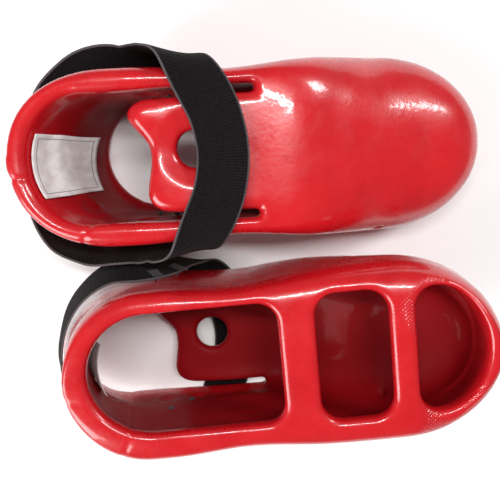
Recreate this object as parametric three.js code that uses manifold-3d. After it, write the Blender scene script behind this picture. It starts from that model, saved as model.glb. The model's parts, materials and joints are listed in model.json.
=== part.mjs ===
// A matched pair of dipped foam sparring foot guards, each with an elastic ankle strap.
// Millimetres, +Z up. The left boot stands on its sole, the right boot lies on its instep beside it.
// A boot's own frame has x = 0 at the back of the sole, +x to the toe, z = 0 at the sole.
import * as THREE from "three";
import { mergeVertices } from "three/addons/utils/BufferGeometryUtils.js";
import Module from "manifold-3d";

const wasm = await Module();
wasm.setup();
const { smoothstep, lerp, degToRad } = THREE.MathUtils;

// Foam shell
const SOLE_LENGTH = 242;
const TOE_OVERHANG = 6; // how far the toe bulges past the sole
const HEEL_FLARE = 25; // how far the collar leans back past the sole
const COLLAR_HEIGHT = 90;
const COLLAR_SPARE = 10; // shell height above the collar before it is cut flat
const TOE_HEIGHT = 58;
const BELLY_HEIGHT = 28; // where the walls stand widest
const HEEL_HALF = 48;
const BALL_HALF = 52;
const WAIST_PINCH = 2.5; // how far each side is drawn in between heel and ball
const HEEL_ROUND = 45;
const TOE_ROUND = 61;
const FOAM = 13;
const ROOF = 12;
const CORNER_POWER = 9; // squareness of the sole edge
const SOLE_TUCK = 0.12; // share of the width lost from belly to sole at the ball of the foot
const BAND = 9; // thickness of the two straps of foam under the foot
const GAP = 0.4; // clearance between neighbouring foam pieces

// Openings in the shell
const SLIT_END = 111; // the slits beside the tongue stop here, and the tongue bends here
const SLIT_OUTER = 36;
const SLIT_WIDTH = 4.5;
const TONGUE_REAR = 51;
const TONGUE_HALF = 30.5;
const TONGUE_HOLE = { x: 78, y: 3, radius: 11 };
const ARCH_BAND = { from: 121, to: 142 };
const TOE_BAND = { from: 182, to: 197 };
const BAND_CORNER = 11; // radius where a band widens into the wall
const WINDOW_HALF = 35;
const WINDOW_SHIFT = 3; // the openings in the sole lie this far to the lateral side
const TOE_RIM = 6.5;
const VENTS = [
  { x: 183, side: -1 },
  { x: 168, side: 1 },
];
const VENT = { height: 44, radius: 1.7 };

// Strap
const STRAP_WIDTH = 28;
const STRAP_THICK = 1.6;
const STRAP_REST = 92.8; // height of the strap's middle line over the instep
const LEFT_SLACK = {
  medial: { flare: 0.4, stand: 24 },
  lateral: { flare: 0.5, stand: 13 },
  heelStand: 8,
};
const RIGHT_SLACK = {
  medial: { flare: 0.35, stand: 0 },
  lateral: { flare: 0.35, stand: 3 },
  heelStand: 0,
};
const SIDE_HEIGHT = 47; // the strap's middle line where it is tacked to the walls
const TACK = { shank: 1.6, head: 3.6, headThick: 1, inner: 34, clear: 0.4, stand: 0.8 };

const LABEL = { wide: 34, low: 34, high: 84, centre: -2, thick: 0.8, clear: 1.4 };

// Where the boots lie
const LEFT_PLACE = { x: -108, y: 61.5, turn: 3.2 };
const RIGHT_PLACE = { x: -104, y: -62.7, turn: 5.5, lift: 97.9 };

const VINYL = { color: 0xd8232b, roughness: 0.25, metalness: 0 };
const ELASTIC = { color: 0x1a181a, roughness: 0.9, metalness: 0 };
const PAPER = { color: 0xf2f2ee, roughness: 0.4, metalness: 0 };
const THREAD = { color: 0x242022, roughness: 0.6, metalness: 0 };

// Solids

function solidFrom(geometry) {
  const bare = geometry.index ? geometry.toNonIndexed() : geometry.clone();
  bare.deleteAttribute("normal");
  bare.deleteAttribute("uv");
  const merged = mergeVertices(bare, 1e-3);
  return new wasm.Manifold(
    new wasm.Mesh({
      numProp: 3,
      vertProperties: merged.attributes.position.array,
      triVerts: new Uint32Array(merged.index.array),
    }),
  );
}

function geometryFrom(solid) {
  const mesh = solid.getMesh();
  return new THREE.BufferGeometry()
    .setAttribute("position", new THREE.BufferAttribute(mesh.vertProperties, 3))
    .setIndex(new THREE.BufferAttribute(mesh.triVerts, 1));
}

function blockBetween(low, high) {
  const size = high.map((value, axis) => value - low[axis]);
  const middle = high.map((value, axis) => (value + low[axis]) / 2);
  return solidFrom(new THREE.BoxGeometry(...size).translate(...middle));
}

// A plan outline raised from one height to another.
function prism(shape, low, high, curveSegments = 8) {
  const options = { depth: high - low, bevelEnabled: false, curveSegments };
  return solidFrom(new THREE.ExtrudeGeometry(shape, options).translate(0, 0, low));
}

// A grid of points, ring by ring, closed round each ring and capped at both ends.
function loft(rings) {
  const across = rings[0].length;
  const points = rings.flat();
  const faces = [];
  for (let i = 0; i + 1 < rings.length; i++) {
    for (let j = 0; j < across; j++) {
      const a = i * across + j;
      const b = i * across + ((j + 1) % across);
      faces.push(a, b, a + across, b, b + across, a + across);
    }
  }
  const capAt = (ring, flip) => {
    const middle = new THREE.Vector3();
    rings[ring].forEach((p) => middle.addScaledVector(p, 1 / across));
    points.push(middle);
    for (let j = 0; j < across; j++) {
      const a = ring * across + j;
      const b = ring * across + ((j + 1) % across);
      faces.push(...(flip ? [points.length - 1, a, b] : [points.length - 1, b, a]));
    }
  };
  capAt(0, false);
  capAt(rings.length - 1, true);
  return new THREE.BufferGeometry()
    .setAttribute(
      "position",
      new THREE.Float32BufferAttribute(points.flatMap((p) => p.toArray()), 3),
    )
    .setIndex(faces);
}

// A thin sheet of even thickness over pointAt(u, v), with u and v from 0 to 1.
function sheetSolid(pointAt, spansU, spansV, thickness) {
  const step = 1e-3;
  const rings = [];
  for (let i = 0; i <= spansU; i++) {
    const u = i / spansU;
    const front = [];
    const back = [];
    for (let j = 0; j <= spansV; j++) {
      const v = j / spansV;
      const alongU = pointAt(u + step, v).sub(pointAt(u - step, v));
      const alongV = pointAt(u, v + step).sub(pointAt(u, v - step));
      const normal = alongU.cross(alongV).normalize().multiplyScalar(thickness / 2);
      front.push(pointAt(u, v).sub(normal));
      back.unshift(pointAt(u, v).add(normal));
    }
    rings.push([...front, ...back]);
  }
  return solidFrom(loft(rings));
}

// Foam shell

function bodyHalf(x) {
  const pinch = smoothstep(x, 55, 100) * (1 - smoothstep(x, 100, 150));
  return lerp(HEEL_HALF, BALL_HALF, smoothstep(x, 85, 180)) - WAIST_PINCH * pinch;
}

const toeEnd = SOLE_LENGTH + TOE_OVERHANG;

function halfWidthAt(x, inset) {
  const back = Math.max(0, HEEL_ROUND - x) / (HEEL_ROUND - inset);
  const front = Math.max(0, x - (toeEnd - TOE_ROUND)) / (TOE_ROUND - inset);
  const round = Math.sqrt(Math.max(0, 1 - back ** 2)) * Math.sqrt(Math.max(0, 1 - front ** 2));
  return (bodyHalf(x) - inset) * round;
}

function topAt(x, inset) {
  const spare = inset > 0 ? 0 : COLLAR_SPARE * (1 - smoothstep(x, 45, 105));
  const collar = COLLAR_HEIGHT + spare;
  const vamp = (COLLAR_HEIGHT - TOE_HEIGHT) * smoothstep(x, 112, 225);
  const front = Math.max(0, x - (toeEnd - TOE_ROUND)) / (TOE_ROUND - inset);
  const round = Math.max(0, 1 - front ** 2.6) ** (1 / 2.6);
  const roof = inset > 0 ? ROOF : 0;
  return lerp(BELLY_HEIGHT, collar - vamp - roof, round);
}

// The collar leans back at the heel, and the sole is tucked in under the toe.
function lean(point) {
  const rise = Math.max(0, point.z) / COLLAR_HEIGHT;
  const heel = HEEL_FLARE * rise ** 1.3 * (1 - smoothstep(point.x, 5, 105));
  const under = Math.max(0, 1 - point.z / BELLY_HEIGHT) ** 2;
  const toe = TOE_OVERHANG * under * smoothstep(point.x, 190, toeEnd);
  return point.setX(point.x - heel - toe);
}

function sectionAt(x, inset, floor, count) {
  const half = halfWidthAt(x, inset);
  const top = topAt(x, inset);
  const topPower = lerp(8, 2.5, smoothstep(x, 100, 190));
  const tuck = SOLE_TUCK * smoothstep(x, 60, 190);
  const ring = [];
  for (let i = 0; i < count; i++) {
    const angle = (2 * Math.PI * (i + 0.5)) / count;
    const side = Math.cos(angle);
    const up = Math.sin(angle);
    const power = up > 0 ? topPower : CORNER_POWER;
    const reach = up > 0 ? top - BELLY_HEIGHT : BELLY_HEIGHT - floor;
    const y = half * Math.sign(side) * Math.abs(side) ** (2 / power);
    const z = BELLY_HEIGHT + reach * Math.sign(up) * Math.abs(up) ** (2 / power);
    const narrow = 1 - tuck * Math.max(0, 1 - z / BELLY_HEIGHT) ** 2;
    ring.push(lean(new THREE.Vector3(x, y * narrow, z)));
  }
  return ring;
}

function footVolume(inset, floor, stations = 22, count = 32) {
  const from = inset;
  const to = toeEnd - inset;
  const rings = [];
  for (let i = 0; i <= stations; i++) {
    const share = 0.5 - 0.5 * Math.cos(Math.PI * lerp(0.035, 0.965, i / stations));
    rings.push(sectionAt(lerp(from, to, share), inset, floor, count));
  }
  return solidFrom(loft(rings));
}

// Plan outline of the ankle opening with its two slits; the tongue is put back afterwards.
function ankleOutline() {
  const half = SLIT_OUTER - 1;
  const heel = -HEEL_FLARE + 9.5;
  const round = 31;
  const corner = SLIT_WIDTH / 2;
  const shape = new THREE.Shape();
  shape.absellipse(heel + round, 0, round, half, Math.PI / 2, 1.5 * Math.PI, false);
  shape.lineTo(SLIT_END - 40, -SLIT_OUTER);
  shape.lineTo(SLIT_END - corner, -SLIT_OUTER);
  shape.lineTo(SLIT_END, -SLIT_OUTER + corner);
  shape.lineTo(SLIT_END, SLIT_OUTER - corner);
  shape.lineTo(SLIT_END - corner, SLIT_OUTER);
  shape.lineTo(SLIT_END - 40, SLIT_OUTER);
  shape.closePath();
  return shape;
}

function tongueOutline() {
  const root = SLIT_OUTER - SLIT_WIDTH;
  const shape = new THREE.Shape();
  shape.moveTo(SLIT_END, -root);
  shape.lineTo(SLIT_END - 30, -root + 1);
  shape.quadraticCurveTo(TONGUE_REAR + 8, -TONGUE_HALF, TONGUE_REAR + 2, -TONGUE_HALF + 8);
  shape.quadraticCurveTo(TONGUE_REAR - 3, -TONGUE_HALF + 14, TONGUE_REAR, -3);
  shape.quadraticCurveTo(TONGUE_REAR, 8, TONGUE_REAR - 7, TONGUE_HALF - 15);
  shape.quadraticCurveTo(TONGUE_REAR - 14, TONGUE_HALF - 2, TONGUE_REAR + 2, TONGUE_HALF);
  shape.lineTo(SLIT_END, root);
  shape.closePath();
  return shape;
}

// A rectangle with concave-looking bands beside it: a window whose corners are well rounded.
function windowOutline(from, to, half, corner) {
  const shape = new THREE.Shape();
  shape.absarc(to - corner, half - corner, corner, 0, Math.PI / 2, false);
  shape.absarc(from + corner, half - corner, corner, Math.PI / 2, Math.PI, false);
  shape.absarc(from + corner, corner - half, corner, Math.PI, 1.5 * Math.PI, false);
  shape.absarc(to - corner, corner - half, corner, 1.5 * Math.PI, 2 * Math.PI, false);
  return shape;
}

function heelWindow() {
  const shape = new THREE.Shape();
  const to = ARCH_BAND.from;
  shape.absellipse(FOAM + 36, 0, 36, WINDOW_HALF - 1, Math.PI / 2, 1.5 * Math.PI, false);
  shape.absarc(to - BAND_CORNER, BAND_CORNER - WINDOW_HALF, BAND_CORNER, -Math.PI / 2, 0, false);
  shape.absarc(to - BAND_CORNER, WINDOW_HALF - BAND_CORNER, BAND_CORNER, 0, Math.PI / 2, false);
  return shape;
}

function toeWindow() {
  const from = TOE_BAND.to;
  const half = WINDOW_HALF;
  const shape = new THREE.Shape();
  const reach = SOLE_LENGTH - TOE_RIM - from - BAND_CORNER;
  shape.absellipse(from + BAND_CORNER, 0, reach, half, -Math.PI / 2, Math.PI / 2, false);
  shape.absarc(from + BAND_CORNER, half - BAND_CORNER, BAND_CORNER, Math.PI / 2, Math.PI, false);
  shape.absarc(from + BAND_CORNER, BAND_CORNER - half, BAND_CORNER, Math.PI, 1.5 * Math.PI, false);
  return shape;
}

// The part of the shell's top that the ankle opening takes away; it leans back with the collar.
function ankleCut() {
  const low = 68;
  const high = 125;
  const options = { depth: high - low, steps: 6, bevelEnabled: false, curveSegments: 16 };
  const opening = new THREE.ExtrudeGeometry(ankleOutline(), options).translate(0, 0, low);
  const place = opening.attributes.position;
  for (let i = 0; i < place.count; i++) {
    const point = new THREE.Vector3().fromBufferAttribute(place, i);
    const upright = point.x + HEEL_FLARE * (1 - smoothstep(point.x, 5, 105));
    place.setX(i, lean(point.setX(upright)).x);
  }
  return solidFrom(opening).subtract(prism(tongueOutline(), 50, 130));
}

function foamShell() {
  const windows = [
    heelWindow(),
    windowOutline(ARCH_BAND.to, TOE_BAND.from, WINDOW_HALF + 1, BAND_CORNER),
    toeWindow(),
  ];
  let shell = footVolume(0, 0).subtract(footVolume(FOAM, BAND));
  shell = shell.subtract(blockBetween([-60, -80, COLLAR_HEIGHT], [SLIT_END + 40, 80, 140]));
  windows.forEach((outline) => {
    shell = shell.subtract(prism(outline, -5, BAND + 6).translate([0, WINDOW_SHIFT, 0]));
  });
  shell = shell.subtract(ankleCut());
  const hole = new THREE.CylinderGeometry(TONGUE_HOLE.radius, TONGUE_HOLE.radius, 60, 28);
  hole.rotateX(Math.PI / 2).translate(TONGUE_HOLE.x, TONGUE_HOLE.y, COLLAR_HEIGHT);
  shell = shell.subtract(solidFrom(hole));
  VENTS.forEach(({ x, side }) => {
    const vent = new THREE.CylinderGeometry(VENT.radius, VENT.radius, 50, 10);
    shell = shell.subtract(solidFrom(vent.translate(x, side * (BALL_HALF - 8), VENT.height)));
  });
  return shell;
}

// The shell cut into the pieces that it is glued up from.
function foamPieces() {
  const wide = 90;
  const tall = 140;
  const half = GAP / 2;
  const bandHalf = WINDOW_HALF - 2;
  const middle = (ARCH_BAND.to + TOE_BAND.from) / 2;
  const wedge = (grow) => {
    const shape = new THREE.Shape();
    shape.moveTo(44, -8 + grow);
    shape.lineTo(-80, -8 + grow);
    shape.lineTo(-80, -wide);
    shape.lineTo(26 + grow, -wide);
    shape.lineTo(44, -8 + grow);
    return prism(shape, -10, tall);
  };
  const band = (from, to, grow) =>
    blockBetween(
      [from, WINDOW_SHIFT - bandHalf - grow, -10],
      [to, WINDOW_SHIFT + bandHalf + grow, BAND + 6],
    );
  const bandZone = (grow) => band(ARCH_BAND.from - 16, TOE_BAND.to + 15, grow);
  const shell = foamShell();
  const upper = shell.subtract(bandZone(GAP));
  const rear = upper.intersect(blockBetween([-80, -wide, -10], [SLIT_END - half, wide, tall]));
  const walls = rear.subtract(wedge(half));
  const midSlit = SLIT_OUTER - 0.6 * SLIT_WIDTH;
  const roof = blockBetween(
    [TONGUE_REAR - 20, -midSlit, COLLAR_HEIGHT - 21],
    [SLIT_END, midSlit, tall],
  );
  const open = walls.subtract(roof);
  return {
    vamp: upper.intersect(blockBetween([SLIT_END + half, -wide, -10], [300, wide, tall])),
    tongue: walls.intersect(roof),
    medial_wall: open.intersect(blockBetween([-80, -wide, -10], [300, -half - 8, tall])),
    lateral_wall: open.intersect(blockBetween([-80, half - 8, -10], [300, wide, tall])),
    heel_insert: rear.intersect(wedge(-half)),
    arch_band: shell.intersect(band(ARCH_BAND.from - 16, middle, 0)),
    toe_band: shell.intersect(band(middle, TOE_BAND.to + 15, 0)),
  };
}

// Strap

// The strap's middle line and the direction of its width, from the instep round to the heel.
// Flare is the sine of the angle at which the band leans out from the wall, and stand is how far
// the loop stands off the corner of the heel.
function strapHalf(side, { flare, stand }, heelStand) {
  const line = [
    [93, 0, STRAP_REST],
    [90, 20, STRAP_REST],
    [83, 36, STRAP_REST + 0.5],
    [73, 50 + 3 * flare, 87],
    [61, 52 + 9 * flare, 73],
    [52, 51 + 11 * flare, 59],
    [40, 51 + 11 * flare, SIDE_HEIGHT + 3],
    [24, 51 + 11 * flare, SIDE_HEIGHT + 2],
    [6, 41 + 11 * flare + 0.4 * stand, SIDE_HEIGHT],
    [-9 - 0.3 * heelStand, 22 + 5 * flare + stand, SIDE_HEIGHT],
    [-14.6 - heelStand, 0, SIDE_HEIGHT],
  ];
  const upright = Math.sqrt(1 - flare ** 2);
  const width = [
    [1, 0, 0],
    [1, 0, 0],
    [1, -0.05, -0.1],
    [0.9, -0.1, -0.35],
    [0.8, -0.6 * flare, -0.6],
    [0.5, -flare, -upright],
    [0.15, -flare, -upright],
    [0, -flare, -upright],
    [0.1, -flare, -upright],
    [0.3, -0.2, -1],
    [0.32, 0, -1],
  ];
  const turned = (list) => list.map(([x, y, z]) => new THREE.Vector3(x, side * y, z));
  return { line: turned(line), width: turned(width) };
}

// One closed loop: position 0 is the heel, the last medial point is the instep.
function strapLoop({ medial: near, lateral: far, heelStand }) {
  const medial = strapHalf(-1, near, heelStand);
  const lateral = strapHalf(1, far, heelStand);
  const join = (key) => [...[...medial[key]].reverse(), ...lateral[key].slice(1, -1)];
  const curve = (key) => new THREE.CatmullRomCurve3(join(key), true, "centripetal");
  const spans = join("line").length;
  const line = curve("line");
  const width = curve("width");
  const pointAt = (position, across) => {
    const t = (position / spans + 1) % 1;
    const along = line.getTangent(t);
    const side = width.getPoint(t);
    side.addScaledVector(along, -side.dot(along)).normalize();
    return line.getPoint(t).addScaledVector(side, across);
  };
  const instep = medial.line.length - 1;
  return { pointAt, spans, instep };
}

// A round tack through the strap and the wall; its axis runs across the boot.
function tackGeometry(outer, side) {
  const { shank, head, headThick, inner } = TACK;
  const profile = [
    [0, inner - headThick],
    [head, inner - headThick],
    [head, inner],
    [shank, inner],
    [shank, outer],
    [head, outer],
    [head, outer + headThick],
    [0, outer + headThick],
  ].map(([radius, y]) => new THREE.Vector2(radius, y));
  const lathe = new THREE.LatheGeometry(profile, 12);
  return side < 0 ? lathe.rotateX(Math.PI) : lathe;
}

function strapPieces(slack) {
  const { pointAt, spans, instep } = strapLoop(slack);
  const split = 3.9; // control points from the instep to where the front half begins
  const half = STRAP_WIDTH / 2;
  const stretch = (from, to, count) =>
    sheetSolid((u, v) => pointAt(lerp(from, to, u), lerp(-half, half, v)), count, 1, STRAP_THICK);
  const apart = 0.03;
  const front = stretch(instep - split + apart, instep + split - apart, 30);
  let heel = stretch(instep + split + apart, spans + instep - split - apart, 40);
  const tacks = {};
  const holes = [];
  [-1, 1].forEach((side) => {
    [4.7, 5.6].forEach((position, index) => {
      const place = pointAt(instep + side * position, 0.65 * half);
      const tilt = Math.asin(side < 0 ? slack.medial.flare : slack.lateral.flare);
      const stand = STRAP_THICK / 2 / Math.cos(tilt) + TACK.head * Math.tan(tilt) + TACK.stand;
      const outer = Math.abs(place.y) + stand;
      const at = [place.x, 0, place.z];
      const solid = solidFrom(tackGeometry(outer, side)).translate(at);
      const name = `${side < 0 ? "medial" : "lateral"}_${index ? "rear" : "front"}_tack`;
      const radius = TACK.shank + TACK.clear;
      const hole = new THREE.CylinderGeometry(radius, radius, 50, 12);
      holes.push(solidFrom(hole.translate(0, side * 55, 0)).translate(at));
      tacks[name] = solid;
    });
  });
  holes.forEach((hole) => {
    heel = heel.subtract(hole);
  });
  return { strap_front: front, strap_heel: heel, tacks, holes };
}

// Care label lying on the inside of the heel, curved with it.
function careLabel() {
  const inside = bodyHalf(0) - FOAM;
  const pointAt = (u, v) => {
    const y = LABEL.centre + (u - 0.5) * LABEL.wide;
    const z = lerp(LABEL.low, LABEL.high, v);
    const round = Math.sqrt(1 - (y / inside) ** 2);
    const x = HEEL_ROUND - (HEEL_ROUND - FOAM) * round;
    const point = lean(new THREE.Vector3(x, y, z));
    return point.setX(point.x + LABEL.clear);
  };
  return sheetSolid(pointAt, 8, 4, LABEL.thick);
}

// Assembly

function bootSolids(slack) {
  const { strap_front, strap_heel, tacks, holes } = strapPieces(slack);
  const foam = foamPieces();
  Object.keys(foam).forEach((name) => {
    if (name.endsWith("_wall")) {
      holes.forEach((hole) => {
        foam[name] = foam[name].subtract(hole);
      });
    }
  });
  const pieces = [];
  const add = (name, solid, material) => pieces.push({ name, solid, material });
  Object.entries(foam).forEach(([name, solid]) => add(name, solid, VINYL));
  add("strap_front", strap_front, ELASTIC);
  add("strap_heel", strap_heel, ELASTIC);
  Object.entries(tacks).forEach(([name, solid]) => add(name, solid, THREAD));
  add("care_label", careLabel(), PAPER);
  return pieces;
}

function bootGroup(prefix, pieces) {
  const group = new THREE.Group();
  pieces.forEach(({ name, solid, material }) => {
    const mesh = new THREE.Mesh(geometryFrom(solid), new THREE.MeshStandardMaterial(material));
    mesh.name = `${prefix}_${name}`;
    group.add(mesh);
  });
  return group;
}

const leftBoot = bootGroup("left", bootSolids(LEFT_SLACK));
leftBoot.position.set(LEFT_PLACE.x, LEFT_PLACE.y, 0);
leftBoot.rotation.z = degToRad(LEFT_PLACE.turn);

// The right boot is the mirror image, and it lies upside down: together that is a flip in height.
const rightBoot = bootGroup("right", bootSolids(RIGHT_SLACK));
rightBoot.position.set(RIGHT_PLACE.x, RIGHT_PLACE.y, RIGHT_PLACE.lift);
rightBoot.rotation.z = degToRad(RIGHT_PLACE.turn);
rightBoot.scale.z = -1;

const pair = new THREE.Group();
pair.add(leftBoot, rightBoot);

// The origin is the middle of the underside of the whole pair.
const extent = new THREE.Box3().setFromObject(pair, true);
const middle = extent.getCenter(new THREE.Vector3());
pair.position.set(-middle.x, -middle.y, -extent.min.z);

export default pair;
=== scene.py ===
"""A pair of dipped foam sparring foot guards on a plain pale floor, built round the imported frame.

A boot's own space is in millimetres: x = 0 at the back of the sole, +x to the toe, z = 0 at the
sole, -y on the medial side. The right boot is the mirror image in height, lying on its instep.
"""

import functools
import json
import math

import bpy
import bmesh
import numpy as np
import openvdb
from mathutils import Matrix, Vector


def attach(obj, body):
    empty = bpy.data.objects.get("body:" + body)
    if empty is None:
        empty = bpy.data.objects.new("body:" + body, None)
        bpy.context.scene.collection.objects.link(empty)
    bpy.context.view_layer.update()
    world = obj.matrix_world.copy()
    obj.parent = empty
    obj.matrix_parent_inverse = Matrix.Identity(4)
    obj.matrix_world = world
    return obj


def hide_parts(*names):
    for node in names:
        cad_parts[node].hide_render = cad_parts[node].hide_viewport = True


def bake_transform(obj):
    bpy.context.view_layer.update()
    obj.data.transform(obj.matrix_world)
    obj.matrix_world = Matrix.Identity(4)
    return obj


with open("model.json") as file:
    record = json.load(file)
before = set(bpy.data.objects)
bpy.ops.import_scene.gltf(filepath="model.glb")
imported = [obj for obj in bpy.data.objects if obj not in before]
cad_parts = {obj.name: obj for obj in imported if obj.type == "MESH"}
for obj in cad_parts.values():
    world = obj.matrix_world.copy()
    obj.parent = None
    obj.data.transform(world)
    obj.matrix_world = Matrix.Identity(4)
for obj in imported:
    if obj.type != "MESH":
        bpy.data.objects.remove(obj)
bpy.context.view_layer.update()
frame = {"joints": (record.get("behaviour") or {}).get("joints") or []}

MM = 0.001
SIDES = ("left", "right")

# Foam shell, as in the CAD model
SOLE_LENGTH = 242
TOE_OVERHANG = 6
TOE_END = SOLE_LENGTH + TOE_OVERHANG
HEEL_FLARE = 25
COLLAR_HEIGHT = 90
COLLAR_SPARE = 10
TOE_HEIGHT = 58
BELLY_HEIGHT = 28
HEEL_HALF = 48
BALL_HALF = 52
WAIST_PINCH = 2.5
HEEL_ROUND = 45
TOE_ROUND = 61
FOAM = 13
ROOF = 12
CORNER_POWER = 9
SOLE_TUCK = 0.12
BAND = 9
SLIT_END = 111
SLIT_OUTER = 36
SLIT_WIDTH = 4.5
TONGUE_REAR = 51
TONGUE_HALF = 30.5
TONGUE_HOLE = (78, 3, 11)
ARCH_BAND = (121, 142)
TOE_BAND = (182, 197)
WINDOW_HALF = 35
WINDOW_SHIFT = 3
VENTS = ((183, -1), (168, 1))
VENT_HEIGHT = 44
ANKLE_ROUND = 31
ANKLE_CENTRE = ANKLE_ROUND - HEEL_FLARE + 9.5
WINDOW_CORNER = 11
HEEL_REACH = 36

# Strap, as in the CAD model
STRAP_WIDTH = 28
STRAP_THICK = 1.6
STRAP_REST = 92.8
SIDE_HEIGHT = 47
SLACK = {
    "left": {"medial": (0.4, 24), "lateral": (0.5, 13), "heel": 8},
    "right": {"medial": (0.35, 0), "lateral": (0.35, 3), "heel": 0},
}

TACK_INSTEP = 10  # knots of the strap from the heel to the instep
TACK_SPANS = 20  # knots of the strap all the way round
TACK_KNOTS = {"front": 4.7, "rear": 5.6}

# Care label
LABEL_WIDTH = 34
LABEL_LOW = 34
LABEL_HIGH = 84
LABEL_CENTRE = -2

VOXEL = 1.4
RIM = 5.0  # how far the dip rounds the foam's edges
LOW = np.array([-34.0, -60.0, -8.0])
HIGH = np.array([256.0, 60.0, 104.0])


# Small helpers

def smooth(x, low, high):
    t = np.clip((x - low) / (high - low), 0, 1)
    return t * t * (3 - 2 * t)


def lerp(a, b, t):
    return a + (b - a) * t


def smooth_max(a, b, k):
    """The larger of two fields, with the corner between them rounded over a width k."""
    h = np.clip(0.5 + 0.5 * (a - b) / k, 0, 1)
    return lerp(b, a, h) + k * h * (1 - h)


def smooth_min(a, b, k):
    return -smooth_max(-a, -b, k)


# Where each boot lies: its hinge gives both the place and the turn

def placement(side):
    """The matrix from a boot's own millimetres to metres in the frame."""
    joint = "left_tongue_lift" if side == "left" else "right_tongue_sag"
    hinge = next(j for j in frame["joints"] if j["name"] == joint)
    flip = 1 if side == "left" else -1
    axis = Vector(hinge["axis"]) * flip
    turn = math.atan2(-axis.x, axis.y)
    spin = Matrix.Rotation(turn, 4, "Z") @ Matrix.Diagonal((MM, MM, MM * flip, 1))
    root = Vector(hinge["pos_m"]) - spin @ Vector((SLIT_END, 0, COLLAR_HEIGHT - 0.5))
    return Matrix.Translation(root) @ spin


# Foam shell as a distance field

def body_half(x):
    pinch = smooth(x, 55, 100) * (1 - smooth(x, 100, 150))
    return lerp(HEEL_HALF, BALL_HALF, smooth(x, 85, 180)) - WAIST_PINCH * pinch


def section_points(x, inset, floor, count):
    """One ring of the lofted foot shape, seen along the boot."""
    back = max(0, HEEL_ROUND - x) / (HEEL_ROUND - inset)
    front = max(0, x - (TOE_END - TOE_ROUND)) / (TOE_ROUND - inset)
    ends = math.sqrt(max(0, 1 - back**2)) * math.sqrt(max(0, 1 - front**2))
    half = (body_half(x) - inset) * ends
    spare = 0 if inset > 0 else COLLAR_SPARE * (1 - smooth(x, 45, 105))
    collar = COLLAR_HEIGHT + spare
    vamp = (COLLAR_HEIGHT - TOE_HEIGHT) * smooth(x, 112, 225)
    crown = max(0, 1 - front**2.6) ** (1 / 2.6)
    top = lerp(BELLY_HEIGHT, collar - vamp - (ROOF if inset > 0 else 0), crown)
    angle = 2 * np.pi * (np.arange(count) + 0.5) / count
    across, up = np.cos(angle), np.sin(angle)
    power = np.where(up > 0, lerp(8, 2.5, smooth(x, 100, 190)), CORNER_POWER)
    reach = np.where(up > 0, top - BELLY_HEIGHT, BELLY_HEIGHT - floor)
    y = half * np.sign(across) * np.abs(across) ** (2 / power)
    z = BELLY_HEIGHT + reach * np.sign(up) * np.abs(up) ** (2 / power)
    under = np.clip(1 - z / BELLY_HEIGHT, 0, None) ** 2
    y = y * (1 - SOLE_TUCK * smooth(x, 60, 190) * under)
    flare = HEEL_FLARE * (np.clip(z, 0, None) / COLLAR_HEIGHT) ** 1.3 * (1 - smooth(x, 5, 105))
    toe = TOE_OVERHANG * under * smooth(x, 190, TOE_END)
    return np.stack([x - flare - toe, y, z], 1)


def foot_field(inset, floor):
    """Distance to the lofted foot shape on the grid, from a fine mesh of it."""
    stations, count = 90, 144
    share = 0.5 - 0.5 * np.cos(np.pi * np.linspace(0.02, 0.98, stations + 1))
    rings = [section_points(lerp(inset, TOE_END - inset, s), inset, floor, count) for s in share]
    points = np.concatenate(rings + [rings[0].mean(0, keepdims=True), rings[-1].mean(0, keepdims=True)])
    i, j = np.meshgrid(np.arange(stations), np.arange(count), indexing="ij")
    a = (i * count + j).ravel()
    b = (i * count + (j + 1) % count).ravel()
    quads = np.stack([a, b, b + count, a + count], 1)
    ring = np.arange(count)
    start = np.stack([np.full(count, len(points) - 2), (ring + 1) % count, ring], 1)
    last = stations * count
    end = np.stack([np.full(count, len(points) - 1), last + ring, last + (ring + 1) % count], 1)
    grid = openvdb.FloatGrid.createLevelSetFromPolygons(
        ((points - LOW) / VOXEL).astype(np.float32),
        triangles=np.concatenate([start, end]).astype(np.uint32),
        quads=quads.astype(np.uint32),
        halfWidth=12.0,
    )
    field = np.zeros(X.shape, np.float32)
    grid.copyToArray(field)
    return field * VOXEL


def rounded_box(x, y, x0, x1, half, corner):
    """Plan distance to a rectangle with round corners."""
    qx = np.abs(x - (x0 + x1) / 2) - (x1 - x0) / 2 + corner
    qy = np.abs(y) - half + corner
    outside = np.hypot(np.clip(qx, 0, None), np.clip(qy, 0, None))
    return outside + np.minimum(np.maximum(qx, qy), 0) - corner


def half_round(x, y, start, reach, half, far):
    """A window that is a half ellipse at one end and has corners at the other, at far."""
    u = np.clip((x - start) / reach, 0, None)
    ellipse = (np.hypot(u, y / half) - 1) * half
    beyond = start + 2 * reach
    box = rounded_box(x, y, min(beyond, far), max(beyond, far), half, WINDOW_CORNER)
    return np.where((x - start) * reach > 0, ellipse, box)


def window_field(x, y):
    """The three openings in the sole, in plan."""
    y = y - WINDOW_SHIFT
    heel = half_round(x, y, FOAM + HEEL_REACH, -HEEL_REACH, WINDOW_HALF - 1, ARCH_BAND[0])
    ball = rounded_box(x, y, ARCH_BAND[1], TOE_BAND[0], WINDOW_HALF + 1, 12)
    toe_start = TOE_BAND[1] + 11
    toe = half_round(x, y, toe_start, SOLE_LENGTH - 6.5 - toe_start, WINDOW_HALF, TOE_BAND[1])
    return np.minimum(np.minimum(heel, ball), toe)


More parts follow.
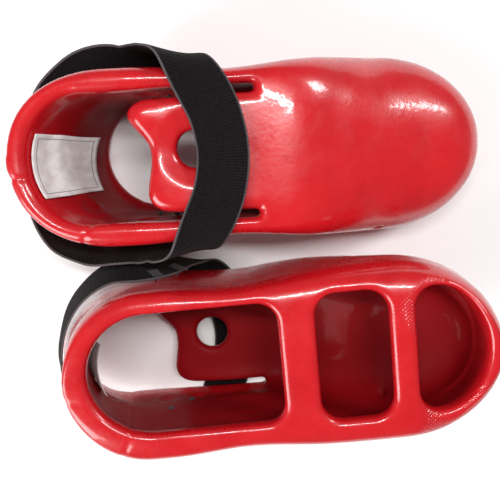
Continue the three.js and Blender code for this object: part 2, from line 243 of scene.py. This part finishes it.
def ankle_field(x, y, z):
    """The ankle opening, leaning back with the collar, with the slits beside the tongue."""
    rise = np.clip(z, 0, None) / COLLAR_HEIGHT
    x = x - HEEL_FLARE * (1 - rise**1.3) * (1 - smooth(x, 5, 105))
    half = SLIT_OUTER - 1
    back = np.clip((ANKLE_CENTRE - x) / ANKLE_ROUND, 0, None)
    heel = (np.hypot(back, y / half) - 1) * ANKLE_ROUND
    side = lerp(half, SLIT_OUTER, smooth(x, 30, 70))
    straight = rounded_box(x, y, ANKLE_CENTRE - 20, SLIT_END, side, 2)
    return np.where(x < ANKLE_CENTRE, heel, straight)


def tongue_field(x, y):
    """The tongue in plan: its rear edge is an S, further back on the lateral side."""
    side = lerp(TONGUE_HALF, SLIT_OUTER - SLIT_WIDTH, smooth(x, TONGUE_REAR, SLIT_END - 20))
    rear = TONGUE_REAR + 1 - 9 * smooth(y, 4, 24) + 1.5 * np.cos(y * np.pi / 22)
    back = rear - x
    edge = np.abs(y) - side
    return smooth_max(back * 0.85, edge, 11)


def tongue_swell(x, y):
    """The raised lateral lobe, and the dish round the hole."""
    lobe = 2.2 * np.exp(-(((x - 51) / 11) ** 2 + ((y - 22) / 9) ** 2))
    away = np.hypot(x - TONGUE_HOLE[0], y - TONGUE_HOLE[1])
    dish = 3.4 * (1 - smooth(away, TONGUE_HOLE[2] - 1, TONGUE_HOLE[2] + 12))
    return lobe - dish


def groove(distance, width, depth):
    return depth * np.exp(-((distance / width) ** 2))


def surface_marks(x, y, z):
    """Shallow marks in the dipped skin: joints of the foam, puckers at the stitches, a crease."""
    heel = 1 - smooth(x, 20, 34)
    side_joint = groove(y + 8, 0.9, 0.8) * (1 - smooth(x, -2, 14))
    rear_joint = groove(x - 26 - (y + 48) * 0.45 + z * 0.16, 0.9, 0.7) * smooth(-y, 6, 14)
    pucker = 0
    stitches = ((11, -27, 56, 4.5), (46, -34, 66, 4.5), (66, -33, 67, 4.5), (50, 34, 64, 4.0))
    for px, py, pz, size in stitches:
        away = np.sqrt((x - px) ** 2 + (y - py) ** 2 + (z - pz) ** 2)
        pucker = pucker + 1.6 * np.exp(-((away / size) ** 2)) - 0.5 * np.exp(-(((away - 8) / 2.2) ** 2))
    crease = groove(x - 152 - 0.2 * np.abs(y), 7, 0.35) * smooth(z, 60, 75)
    return side_joint * heel + rear_joint + pucker + crease


def shell_field(inner_field):
    """The whole dipped foam boot, tongue included, as one field in millimetres."""
    x, y, z = X, Y, Z
    plump = 0.7 + 0.4 * np.sin(x / 31) * np.cos(y / 23 + z / 37)
    collar = np.where(x < SLIT_END + 40, z - COLLAR_HEIGHT, -10)
    body = smooth_max(foot_field(0, 0) - plump, collar, 6)
    tongue = tongue_field(x, y)
    opening = smooth_max(ankle_field(x, y, z), -tongue, 2)
    opening = smooth_max(opening, 58 - z, 16)
    hollow = smooth_min(inner_field, opening, 7)
    whole = smooth_max(body, -hollow, 6)
    window = np.maximum(window_field(x, y), z - BAND - 14)
    whole = smooth_max(whole, -window, RIM)
    on_top = smooth(z, 80, 88) * smooth(-tongue, 0, 5)
    whole = whole - tongue_swell(x, y) * on_top
    hole_x, hole_y, hole_radius = TONGUE_HOLE
    hole = np.maximum(np.hypot(x - hole_x, y - hole_y) - hole_radius + 1, 60 - z)
    whole = smooth_max(whole, -hole, 5)
    for vent_x, vent_side in VENTS:
        vent = np.maximum(np.hypot(x - vent_x, z - VENT_HEIGHT) - 1.9, 30 - vent_side * y)
        whole = smooth_max(whole, -vent, 2.5)
    return whole + surface_marks(x, y, z)


def shell_surface(field):
    """Points and four-sided faces of the shell in the boot's own millimetres."""
    grid = openvdb.FloatGrid(100.0)
    grid.copyFromArray(field.astype(np.float32))
    points, quads = grid.convertToQuads(0.0)
    points = points.astype(np.float64) * VOXEL + LOW
    quads = quads.astype(np.int64)[:, ::-1]
    for _ in range(3):
        points = relaxed(points, quads)
    return points, quads


def relaxed(points, quads):
    """Each point moved half way to the middle of its neighbours."""
    total = np.zeros_like(points)
    count = np.zeros(len(points))
    for a, b in ((0, 1), (1, 2), (2, 3), (3, 0)):
        for one, other in ((a, b), (b, a)):
            np.add.at(total, quads[:, one], points[quads[:, other]])
            np.add.at(count, quads[:, one], 1)
    return 0.5 * points + 0.5 * total / count[:, None]


def sampled(volume, points):
    """The value of a grid at each point, blended between its eight neighbours."""
    place = np.clip((points - LOW) / VOXEL, 0, np.array(volume.shape) - 1.001)
    cell = place.astype(int)
    part = place - cell
    value = 0
    for corner in range(8):
        step = np.array([corner >> 2 & 1, corner >> 1 & 1, corner & 1])
        weight = np.where(step, part, 1 - part).prod(1)
        i, j, k = (cell + step).T
        value = value + weight * volume[i, j, k]
    return value


def mesh_object(name, points, faces):
    mesh = bpy.data.meshes.new(name)
    mesh.from_pydata(points.tolist(), [], faces.tolist())
    mesh.validate()
    obj = bpy.data.objects.new(name, mesh)
    bpy.context.scene.collection.objects.link(obj)
    return obj


def keep_half(source, name, keep_front, plane_x):
    """A copy of a boot-space mesh cut by a plane across the boot, with the cut closed."""
    obj = source.copy()
    obj.data = source.data.copy()
    obj.name = name
    obj.data.name = name
    bpy.context.scene.collection.objects.link(obj)
    bm = bmesh.new()
    bm.from_mesh(obj.data)
    geometry = bm.verts[:] + bm.edges[:] + bm.faces[:]
    cut = bmesh.ops.bisect_plane(
        bm, geom=geometry, plane_co=(plane_x, 0, 0), plane_no=(1, 0, 0),
        clear_inner=keep_front, clear_outer=not keep_front,
    )
    rim = [e for e in cut["geom_cut"] if isinstance(e, bmesh.types.BMEdge)]
    bmesh.ops.triangle_fill(bm, edges=rim, use_beauty=True)
    bmesh.ops.recalc_face_normals(bm, faces=bm.faces[:])
    bm.to_mesh(obj.data)
    bm.free()
    return obj


def split_loose(obj, inside):
    """Takes the loose islands whose middle passes the test out of obj, as a new object."""
    bm = bmesh.new()
    bm.from_mesh(obj.data)
    bm.verts.ensure_lookup_table()
    seen = set()
    chosen = set()
    for start in bm.verts:
        if start.index in seen:
            continue
        island = [start]
        seen.add(start.index)
        for vert in island:
            for edge in vert.link_edges:
                other = edge.other_vert(vert)
                if other.index not in seen:
                    seen.add(other.index)
                    island.append(other)
        middle = sum((v.co for v in island), Vector()) / len(island)
        if inside(middle):
            chosen.update(v.index for v in island)
    taken = bm.copy()
    for half, wanted in ((taken, True), (bm, False)):
        half.verts.ensure_lookup_table()
        drop = [v for v in half.verts if (v.index in chosen) != wanted]
        bmesh.ops.delete(half, geom=drop, context="VERTS")
    mesh = obj.data.copy()
    taken.to_mesh(mesh)
    bm.to_mesh(obj.data)
    bm.free()
    taken.free()
    flap = bpy.data.objects.new("tongue", mesh)
    bpy.context.scene.collection.objects.link(flap)
    return flap


# Strap: one loop of ribbed elastic

def strap_half(side, flare, stand, heel_stand):
    """Middle line and width direction from the instep round to the heel, as in the CAD model."""
    upright = math.sqrt(1 - flare**2)
    line = [
        (93, 0, STRAP_REST), (90, 20, STRAP_REST), (83, 36, STRAP_REST + 0.5),
        (73, 50 + 3 * flare, 87), (61, 52 + 9 * flare, 73), (52, 51 + 11 * flare, 59),
        (40, 51 + 11 * flare, SIDE_HEIGHT + 3), (24, 51 + 11 * flare, SIDE_HEIGHT + 2),
        (6, 41 + 11 * flare + 0.4 * stand, SIDE_HEIGHT),
        (-9 - 0.3 * heel_stand, 22 + 5 * flare + stand, SIDE_HEIGHT),
        (-14.6 - heel_stand, 0, SIDE_HEIGHT),
    ]
    width = [
        (1, 0, 0), (1, 0, 0), (1, -0.05, -0.1), (0.9, -0.1, -0.35), (0.8, -0.6 * flare, -0.6),
        (0.5, -flare, -upright), (0.15, -flare, -upright), (0, -flare, -upright),
        (0.1, -flare, -upright), (0.3, -0.2, -1), (0.32, 0, -1),
    ]
    turn = np.array([1, side, 1])
    return np.array(line) * turn, np.array(width, float) * turn


def closed_curve(knots, steps):
    """A centripetal curve through the knots and back to the first, with even steps per span."""
    knots = np.asarray(knots, float)
    count = len(knots)
    out = []
    for i in range(count):
        p = [knots[(i + k - 1) % count] for k in range(4)]
        d = [max(1e-4, np.linalg.norm(p[k + 1] - p[k]) ** 0.5) for k in range(3)]
        m1 = (p[1] - p[0]) / d[0] - (p[2] - p[0]) / (d[0] + d[1]) + (p[2] - p[1]) / d[1]
        m2 = (p[2] - p[1]) / d[1] - (p[3] - p[1]) / (d[1] + d[2]) + (p[3] - p[2]) / d[2]
        m1, m2 = m1 * d[1], m2 * d[1]
        for t in np.arange(steps) / steps:
            h = 2 * t**3 - 3 * t**2 + 1, t**3 - 2 * t**2 + t, 3 * t**2 - 2 * t**3, t**3 - t**2
            out.append(h[0] * p[1] + h[1] * m1 + h[2] * p[2] + h[3] * m2)
    return np.array(out)


def strap_rings(side):
    """Middle points, width directions and outward normals round the loop."""
    slack = SLACK[side]
    near = strap_half(-1, *slack["medial"], slack["heel"])
    far = strap_half(1, *slack["lateral"], slack["heel"])
    steps = 24
    line = closed_curve(np.concatenate([near[0][::-1], far[0][1:-1]]), steps)
    wide = closed_curve(np.concatenate([near[1][::-1], far[1][1:-1]]), steps)
    along = np.roll(line, -1, 0) - np.roll(line, 1, 0)
    along /= np.linalg.norm(along, axis=1, keepdims=True)
    wide -= along * (wide * along).sum(1, keepdims=True)
    wide /= np.linalg.norm(wide, axis=1, keepdims=True)
    normal = np.cross(wide, along)
    within = np.array([35, 0, 55])
    if (normal * (line - within)).sum() < 0:
        normal = -normal
    return line, wide, normal


def strap_flutter(share, across, side):
    """How far the slack edges of the elastic wave in and out, in millimetres."""
    wave = 0.9 * np.sin(2 * np.pi * 5 * share + 1.1) + 0.5 * np.sin(2 * np.pi * 11 * share + 2.0)
    loose = smooth(-across, 2, STRAP_WIDTH / 2)
    return wave * loose * (1 if side == "left" else 0.7)


def strap_piece(side):
    """The whole strap as one closed band, with its slack edges fluttering off the heel."""
    line, wide, normal = strap_rings(side)
    count = len(line)
    step = np.linalg.norm(np.roll(line, -1, 0) - line, axis=1)
    length = np.concatenate([[0], np.cumsum(step)])
    half = STRAP_WIDTH / 2
    lanes = np.linspace(-half, half, 15)
    edge = 1 - 0.45 * smooth(np.abs(lanes), half - 1.4, half)
    profile = [(lane, 0.5 * STRAP_THICK * e) for lane, e in zip(lanes, edge)]
    profile += [(lane, -0.5 * STRAP_THICK * e) for lane, e in zip(lanes[::-1], edge[::-1])]
    share = length[:-1] / length[-1]
    rest = smooth(share, 0.28, 0.34) * (1 - smooth(share, 0.66, 0.72))
    verts, coords = [], []
    for lane, lift in profile:
        shift = strap_flutter(share, lane, side) * (1 - rest)
        verts.append(line + wide * lane + normal * (lift + shift)[:, None])
        coords.append(np.stack([length[:-1], np.full(count, lane), np.full(count, lift)], 1))
    verts = np.stack(verts, 1).reshape(-1, 3)
    coords = np.stack(coords, 1).reshape(-1, 3)
    around = len(profile)
    i, j = np.meshgrid(np.arange(count), np.arange(around), indexing="ij")
    k, n = (i + 1) % count, (j + 1) % around
    quads = np.stack([i * around + j, i * around + n, k * around + n, k * around + j], -1)
    obj = mesh_object(f"{side}_elastic_strap", verts, quads.reshape(-1, 4))
    set_attribute(obj, "weave", coords * MM)
    obj.data.transform(placement(side))
    outward(obj)
    shade(obj)
    assign(obj, elastic_material())
    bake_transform(obj)
    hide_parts(f"{side}_strap_front", f"{side}_strap_heel")
    return obj


# Mesh helpers

def set_attribute(obj, name, values):
    layer = obj.data.attributes.new(name, "FLOAT_VECTOR", "POINT")
    layer.data.foreach_set("vector", np.asarray(values, np.float32).ravel())


def outward(obj):
    bm = bmesh.new()
    bm.from_mesh(obj.data)
    bmesh.ops.recalc_face_normals(bm, faces=bm.faces[:])
    bm.to_mesh(obj.data)
    bm.free()


def shade(obj):
    for polygon in obj.data.polygons:
        polygon.use_smooth = True


def assign(obj, material):
    obj.data.materials.clear()
    obj.data.materials.append(material)


# Materials

def principled(name, **values):
    """A new material, its nodes, its links and its shader with the given sockets set."""
    material = bpy.data.materials.new(name)
    material.use_nodes = True
    nodes, links = material.node_tree.nodes, material.node_tree.links
    shader = nodes["Principled BSDF"]
    for socket, value in values.items():
        shader.inputs[socket.replace("_", " ")].default_value = value
    return material, nodes, links, shader


def node(nodes, kind, **settings):
    made = nodes.new(kind)
    for key, value in settings.items():
        if hasattr(made, key):
            setattr(made, key, value)
        else:
            made.inputs[key.replace("_", " ")].default_value = value
    return made


def math_node(nodes, links, operation, *inputs):
    made = nodes.new("ShaderNodeMath")
    made.operation = operation
    for socket, value in zip(made.inputs, inputs):
        if isinstance(value, (int, float)):
            socket.default_value = value
        else:
            links.new(value, socket)
    return made.outputs[0]


def place_of(nodes, links, name):
    """The x, y and z of a place stored on the mesh, and the whole vector."""
    attribute = node(nodes, "ShaderNodeAttribute", attribute_name=name)
    split = nodes.new("ShaderNodeSeparateXYZ")
    links.new(attribute.outputs["Vector"], split.inputs[0])
    return attribute.outputs["Vector"], split.outputs


def ramp(nodes, links, value, stops):
    made = nodes.new("ShaderNodeValToRGB")
    elements = made.color_ramp.elements
    while len(elements) < len(stops):
        elements.new(0.5)
    for element, (position, colour) in zip(elements, stops):
        element.position = position
        element.color = (*colour, 1)
    links.new(value, made.inputs[0])
    return made.outputs[0]


def noise(nodes, links, place, **settings):
    """A noise texture that runs through a place stored on the mesh."""
    made = node(nodes, "ShaderNodeTexNoise", **settings)
    links.new(place, made.inputs["Vector"])
    return made.outputs[0]


def remap(nodes, links, value, *limits):
    """A value taken from its first two limits to its last two, and held there beyond them."""
    made = node(nodes, "ShaderNodeMapRange")
    links.new(value, made.inputs[0])
    for socket, limit in zip(("From Min", "From Max", "To Min", "To Max"), limits):
        made.inputs[socket].default_value = limit
    return made.outputs[0]


def mixed(nodes, links, share, colour, other):
    """A colour that turns into a plain other one by a share."""
    made = node(nodes, "ShaderNodeMix", data_type="RGBA")
    links.new(share, made.inputs["Factor"])
    links.new(colour, made.inputs[6])
    made.inputs[7].default_value = (*other, 1)
    return made.outputs[2]


def bumped(nodes, links, height, below=None, **settings):
    """A normal roughened by a height, on top of the normal below."""
    made = node(nodes, "ShaderNodeBump", **settings)
    links.new(height, made.inputs["Height"])
    if below is not None:
        links.new(below, made.inputs["Normal"])
    return made.outputs[0]


def wave(nodes, links, value, spacing):
    turns = math_node(nodes, links, "MULTIPLY", value, 2 * math.pi / spacing)
    return math_node(nodes, links, "SINE", turns)


@functools.cache
def vinyl_material():
    """Glossy dipped vinyl with painted shade darkening its red inside the boot, where it is also
    duller, with orange peel and a print of cloth.
    """
    material, nodes, links, shader = principled(
        "red_vinyl_skin", Roughness=0.3, Coat_Weight=0.55, Coat_Roughness=0.06, Coat_IOR=1.5,
        Specular_IOR_Level=0.4,
    )
    place, (px, py, pz) = place_of(nodes, links, "boot")
    inside = node(nodes, "ShaderNodeAttribute", attribute_name="inside").outputs["Fac"]
    mottle = noise(nodes, links, place, Scale=38.0, Detail=4.0, Roughness=0.6)
    red = ramp(nodes, links, mottle, [
        (0.25, (0.45, 0.005, 0.009)), (0.5, (0.52, 0.007, 0.012)), (0.75, (0.57, 0.011, 0.016)),
    ])
    # painted shade: inside the boot the red is mixed towards a darker red, standing in for the shade in
    # the boot's hollow
    links.new(mixed(nodes, links, inside, red, (0.24, 0.003, 0.006)), shader.inputs["Base Color"])
    smear = noise(nodes, links, place, Scale=70.0, Detail=5.0, Roughness=0.65)
    gloss = remap(nodes, links, smear, 0.35, 0.7, 0.2, 0.38)
    matt = math_node(nodes, links, "MULTIPLY", inside, 0.3)
    links.new(math_node(nodes, links, "ADD", gloss, matt), shader.inputs["Roughness"])
    for socket, outer, inner in (("Coat Weight", 0.55, 0.05), ("Specular IOR Level", 0.4, 0.1)):
        links.new(remap(nodes, links, inside, 0, 1, outer, inner), shader.inputs[socket])
    swell = noise(nodes, links, place, Scale=90.0, Detail=2.0)
    peel = noise(nodes, links, place, Scale=420.0, Detail=2.0)
    printed = cloth_print(nodes, links, place, px, py, pz)
    normal = bumped(nodes, links, swell, Strength=0.12, Distance=0.0005)
    normal = bumped(nodes, links, peel, normal, Strength=0.25, Distance=0.00022)
    normal = bumped(nodes, links, printed, normal, Distance=0.0002)
    links.new(normal, shader.inputs["Normal"])
    links.new(normal, shader.inputs["Coat Normal"])
    return material


def cloth_print(nodes, links, place, px, py, pz):
    """Height of the woven print left in the skin, in patches on the sole near the toes."""
    warp, weft = wave(nodes, links, px, 0.0026), wave(nodes, links, py, 0.0021)
    height = math_node(nodes, links, "MULTIPLY", warp, weft)
    patches = noise(nodes, links, place, Scale=26.0, Detail=1.0)
    for value, limits in (
        (patches, (0.52, 0.6, 0.0, 1.0)), (px, (0.175, 0.2, 0.0, 1.0)), (pz, (0.012, 0.03, 1.0, 0.0)),
    ):
        height = math_node(nodes, links, "MULTIPLY", height, remap(nodes, links, value, *limits))
    return height


@functools.cache
def elastic_material():
    """Woven elastic: fine ribs across the band, threads along it, paler selvages."""
    material, nodes, links, shader = principled(
        "black_elastic_weave", Roughness=0.85, Sheen_Weight=0.03, Sheen_Roughness=0.5,
        Specular_IOR_Level=0.1,
    )
    place, (along, across, _) = place_of(nodes, links, "weave")
    fuzz = noise(nodes, links, place, Scale=900.0, Detail=3.0)
    jitter = math_node(nodes, links, "MULTIPLY", fuzz, 0.0003)
    rib = wave(nodes, links, math_node(nodes, links, "ADD", along, jitter), 0.0014)
    thread = math_node(nodes, links, "MULTIPLY", wave(nodes, links, across, 0.0009), 0.35)
    weave = math_node(nodes, links, "ADD", rib, thread)
    half = STRAP_WIDTH / 2 * MM
    edge = math_node(nodes, links, "ABSOLUTE", across)
    selvage = remap(nodes, links, edge, half - 0.0012, half - 0.0004, 0.0, 1.0)
    tone = math_node(nodes, links, "ADD", math_node(nodes, links, "MULTIPLY", weave, 0.18), fuzz)
    black = ramp(nodes, links, tone, [(0.25, (0.003, 0.002, 0.0025)), (0.8, (0.012, 0.008, 0.009))])
    links.new(mixed(nodes, links, selvage, black, (0.10, 0.085, 0.09)), shader.inputs["Base Color"])
    links.new(bumped(nodes, links, weave, Strength=0.7, Distance=0.00025), shader.inputs["Normal"])
    return material


@functools.cache
def label_material():
    """Blank satin label tape: a fine weave and a printed hairline border."""
    material, nodes, links, shader = principled(
        "label_satin", Roughness=0.35, Sheen_Weight=0.2, Specular_IOR_Level=0.6,
    )
    place, (u, v, _) = place_of(nodes, links, "tape")
    sides = [math_node(nodes, links, "ABSOLUTE", value) for value in (u, v)]
    edge = math_node(nodes, links, "MAXIMUM", *sides)
    border = math_node(nodes, links, "COMPARE", edge, 0.86, 0.012)
    stain = noise(nodes, links, place, Scale=3.0, Detail=4.0)
    tint = ramp(nodes, links, stain, [(0.3, (0.62, 0.58, 0.57)), (0.7, (0.86, 0.85, 0.83))])
    links.new(mixed(nodes, links, border, tint, (0.25, 0.22, 0.22)), shader.inputs["Base Color"])
    weave = noise(nodes, links, place, Scale=120.0, Detail=2.0)
    links.new(bumped(nodes, links, weave, Strength=0.2, Distance=0.0002), shader.inputs["Normal"])
    return material


@functools.cache
def thread_material():
    """Black sewing thread with its twist."""
    material, nodes, links, shader = principled(
        "black_thread_twist", Roughness=0.55, Sheen_Weight=0.2,
    )
    where = nodes.new("ShaderNodeTexCoord")
    twist = node(nodes, "ShaderNodeTexWave", Scale=900.0, Distortion=1.0)
    links.new(where.outputs["Object"], twist.inputs["Vector"])
    tones = [(0.2, (0.012, 0.010, 0.011)), (0.9, (0.06, 0.05, 0.055))]
    links.new(ramp(nodes, links, twist.outputs[0], tones), shader.inputs["Base Color"])
    normal = bumped(nodes, links, twist.outputs[0], Strength=0.6, Distance=0.0002)
    links.new(normal, shader.inputs["Normal"])
    return material


# Skin pieces of each boot

def skin_pieces(side, points, faces, slopes):
    """Upper and heel skins and the tongue, cut from one surface so that they meet exactly."""
    whole = mesh_object("whole", points, faces)
    cut_x = SLIT_END - 5
    upper = keep_half(whole, f"{side}_upper_skin", True, cut_x)
    heel = keep_half(whole, f"{side}_heel_skin", False, cut_x)
    bpy.data.objects.remove(whole)
    tongue = split_loose(heel, lambda m: m.z > 70 and abs(m.y) < 20 and m.x > 45)
    tongue.name = f"{side}_tongue_skin"
    for obj in (upper, heel, tongue):
        place_skin(obj, side, slopes)
    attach(upper, f"{side}_boot")
    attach(heel, f"{side}_boot")
    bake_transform(tongue)
    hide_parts(f"{side}_vamp", f"{side}_arch_band", f"{side}_toe_band")
    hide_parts(f"{side}_medial_wall", f"{side}_lateral_wall", f"{side}_heel_insert")
    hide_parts(f"{side}_tongue")


def place_skin(obj, side, slopes):
    """Moves a skin piece into the frame, with normals that run on across the cuts."""
    co = np.zeros(len(obj.data.vertices) * 3, np.float32)
    obj.data.vertices.foreach_get("co", co)
    co = co.reshape(-1, 3)
    set_attribute(obj, "boot", co * MM)
    # inside mask: it drives painted shade on the vinyl's colour there, and a duller, less glossy finish
    inside = 1 - smooth(sampled(cavity, co), 1.5, 7)
    layer = obj.data.attributes.new("inside", "FLOAT", "POINT")
    layer.data.foreach_set("value", inside.astype(np.float32))
    normals = np.stack([sampled(slope, co) for slope in slopes], 1)
    obj.data.transform(placement(side))
    if side == "right":
        obj.data.flip_normals()
    turn = np.array(placement(side).to_3x3())
    normals = normals @ turn.T
    normals /= np.linalg.norm(normals, axis=1, keepdims=True) + 1e-9
    shade(obj)
    obj.data.normals_split_custom_set_from_vertices(normals.tolist())
    assign(obj, vinyl_material())


def label_piece(side):
    """The blank care label, bonded to the inside of the heel with its lower end curled off."""
    columns, rows = 24, 30
    inside = HEEL_HALF - FOAM
    verts, coords = [], []
    for j in range(rows + 1):
        v = j / rows
        z = lerp(LABEL_LOW, LABEL_HIGH, v)
        curl = 5.0 * max(0, 1 - v / 0.45) ** 2
        for i in range(columns + 1):
            u = i / columns
            y = LABEL_CENTRE + (u - 0.5) * LABEL_WIDTH * (1 - 0.04 * math.cos(math.pi * v))
            hollow = math.sqrt(max(0, 1 - (y / inside) ** 2))
            x = HEEL_ROUND - (HEEL_ROUND - FOAM) * hollow
            x += -HEEL_FLARE * (z / COLLAR_HEIGHT) ** 1.3 + 0.9 + curl * (0.6 + 0.5 * u)
            x -= 2.6 * float(smooth(z, 64, 72))
            verts.append((x, y, z))
            coords.append((2 * u - 1, 2 * v - 1, 0))
    across = columns + 1
    corners = [j * across + i for j in range(rows) for i in range(columns)]
    faces = [(a, a + 1, a + across + 1, a + across) for a in corners]
    obj = mesh_object(f"{side}_blank_label", np.array(verts), np.array(faces))
    set_attribute(obj, "tape", coords)
    obj.data.transform(placement(side))
    thicken = obj.modifiers.new("thickness", "SOLIDIFY")
    thicken.thickness = 0.35 * MM
    thicken.offset = 0
    apply_modifiers(obj)
    shade(obj)
    assign(obj, label_material())
    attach(obj, f"{side}_boot")
    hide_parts(f"{side}_care_label")


def apply_modifiers(obj):
    depsgraph = bpy.context.evaluated_depsgraph_get()
    depsgraph.update()
    made = bpy.data.meshes.new_from_object(obj.evaluated_get(depsgraph))
    obj.modifiers.clear()
    obj.data = made


def capsule(verts, faces, start, end, radius, sides=8, rings=4):
    """Adds a round-ended stitch between two points."""
    axis = end - start
    length = np.linalg.norm(axis)
    axis = axis / length
    aside = np.cross(axis, (0.3, 0.5, 0.81))
    aside /= np.linalg.norm(aside)
    third = np.cross(axis, aside)
    angles = np.linspace(0.15, math.pi / 2, rings)
    stations = [(-radius * math.cos(t), radius * math.sin(t)) for t in angles]
    stations += [(length - d, r) for d, r in stations[::-1]]
    first = len(verts)
    turns = 2 * np.pi * np.arange(sides) / sides
    for along, wide in stations:
        for t in turns:
            verts.append(start + axis * along + (aside * math.cos(t) + third * math.sin(t)) * wide)
    for i in range(len(stations) - 1):
        for j in range(sides):
            a, b = first + i * sides + j, first + i * sides + (j + 1) % sides
            faces.append((a, b, b + sides, a + sides))
    faces.append(tuple(first + j for j in range(sides))[::-1])
    faces.append(tuple(first + (len(stations) - 1) * sides + j for j in range(sides)))


def tack_piece(side, flank, place):
    """A bar tack: close stitches through the elastic, with its knot pulled into the inner wall."""
    line, wide, normal = strap_rings(side)
    lean = 1 if flank == "lateral" else -1
    position = TACK_INSTEP + lean * TACK_KNOTS[place]
    index = int(round(position * len(line) / TACK_SPANS))
    across, out = wide[index], normal[index]
    along = np.cross(across, out)
    centre = line[index] + across * 0.65 * STRAP_WIDTH / 2 + out * (STRAP_THICK / 2 + 0.15)
    verts, faces = [], []
    stitches, pitch, reach = 7, 0.9, 3.6
    for i in range(stitches):
        middle = centre + along * (i - (stitches - 1) / 2) * pitch
        capsule(verts, faces, middle - across * reach, middle + across * reach, 0.42)
    for end in (-1, 1):
        bar = centre + across * reach * end + out * 0.25
        capsule(verts, faces, bar - along * 3.2, bar + along * 3.2, 0.4)
    knot = np.array([centre[0], lean * (HEEL_HALF - FOAM - 1.2), centre[2]])
    capsule(verts, faces, knot - np.array([1.1, 0, 0.3]), knot + np.array([1.1, 0, 0.3]), 0.8)
    capsule(verts, faces, knot, centre - out * (STRAP_THICK + 0.3), 0.6)
    bm = bmesh.new()
    made = [bm.verts.new(v) for v in verts]
    for face in faces:
        bm.faces.new([made[i] for i in face])
    mesh = bpy.data.meshes.new("tack")
    bm.to_mesh(mesh)
    bm.free()
    obj = bpy.data.objects.new(f"{side}_{flank}_{place}_bar_tack", mesh)
    bpy.context.scene.collection.objects.link(obj)
    obj.data.transform(placement(side))
    outward(obj)
    shade(obj)
    assign(obj, thread_material())
    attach(obj, f"{side}_boot")
    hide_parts(f"{side}_{flank}_{place}_tack")


# The grid on which the shell is worked out
counts = np.ceil((HIGH - LOW) / VOXEL).astype(int)
X, Y, Z = np.meshgrid(
    *(LOW[i] + VOXEL * np.arange(counts[i], dtype=np.float32) for i in range(3)), indexing="ij"
)
cavity = foot_field(FOAM, BAND)
field = shell_field(cavity)
points, faces = shell_surface(field)
slopes = np.gradient(field)
for side in SIDES:
    skin_pieces(side, points, faces, slopes)
    strap_piece(side)
    label_piece(side)
    for flank in ("medial", "lateral"):
        for place in ("front", "rear"):
            tack_piece(side, flank, place)


# Floor, lights and camera

def floor():
    mesh = bpy.data.meshes.new("floor")
    reach = 3.0
    signs = ((-1, -1), (1, -1), (1, 1), (-1, 1))
    mesh.from_pydata([(x * reach, y * reach, -0.0004) for x, y in signs], [], [(0, 1, 2, 3)])
    obj = bpy.data.objects.new("floor", mesh)
    bpy.context.scene.collection.objects.link(obj)
    material, nodes, links, shader = principled("pale_floor", Roughness=0.9, Specular_IOR_Level=0.1)
    grain = node(nodes, "ShaderNodeTexNoise", Scale=40.0)
    links.new(
        ramp(nodes, links, grain.outputs[0], [(0.3, (0.90, 0.90, 0.90)), (0.7, (0.92, 0.92, 0.92))]),
        shader.inputs["Base Color"],
    )
    assign(obj, material)


def soft_light(name, place, aim, size, power):
    data = bpy.data.lights.new(name, "AREA")
    data.shape = "RECTANGLE"
    data.size, data.size_y = size
    data.energy = power
    obj = bpy.data.objects.new(name, data)
    obj.location = place
    direction = Vector(aim) - Vector(place)
    obj.rotation_euler = direction.to_track_quat("-Z", "Y").to_euler()
    bpy.context.scene.collection.objects.link(obj)


def studio():
    world = bpy.data.worlds.new("studio")
    world.use_nodes = True
    world.node_tree.nodes["Background"].inputs[0].default_value = (1, 1, 1, 1)
    world.node_tree.nodes["Background"].inputs[1].default_value = 0.2
    bpy.context.scene.world = world
    soft_light("long_softbox", (0.05, 0.27, 1.0), (0, 0.05, 0), (0.6, 0.045), 7)
    soft_light("fill", (-1.1, -0.9, 0.95), (0, 0, 0), (1.0, 1.0), 27)
    soft_light("toe_light", (1.0, 0.7, 0.9), (0.1, 0.05, 0.03), (0.3, 0.3), 7)


def camera():
    """Straight above and tipped a little, as the pair is shown."""
    data = bpy.data.cameras.new("camera")
    data.sensor_width = 36
    data.lens = 44.64
    obj = bpy.data.objects.new("camera", data)
    left, right = placement("left").translation, placement("right").translation
    obj.location = (0.5 * (left.x + right.x) + 0.1051, 0.5 * (left.y + right.y) + 0.0617, 0.425)
    obj.rotation_euler = (math.radians(-8), 0, 0)
    bpy.context.scene.collection.objects.link(obj)
    bpy.context.scene.camera = obj


floor()
studio()
camera()
bpy.context.scene.view_settings.view_transform = "Standard"
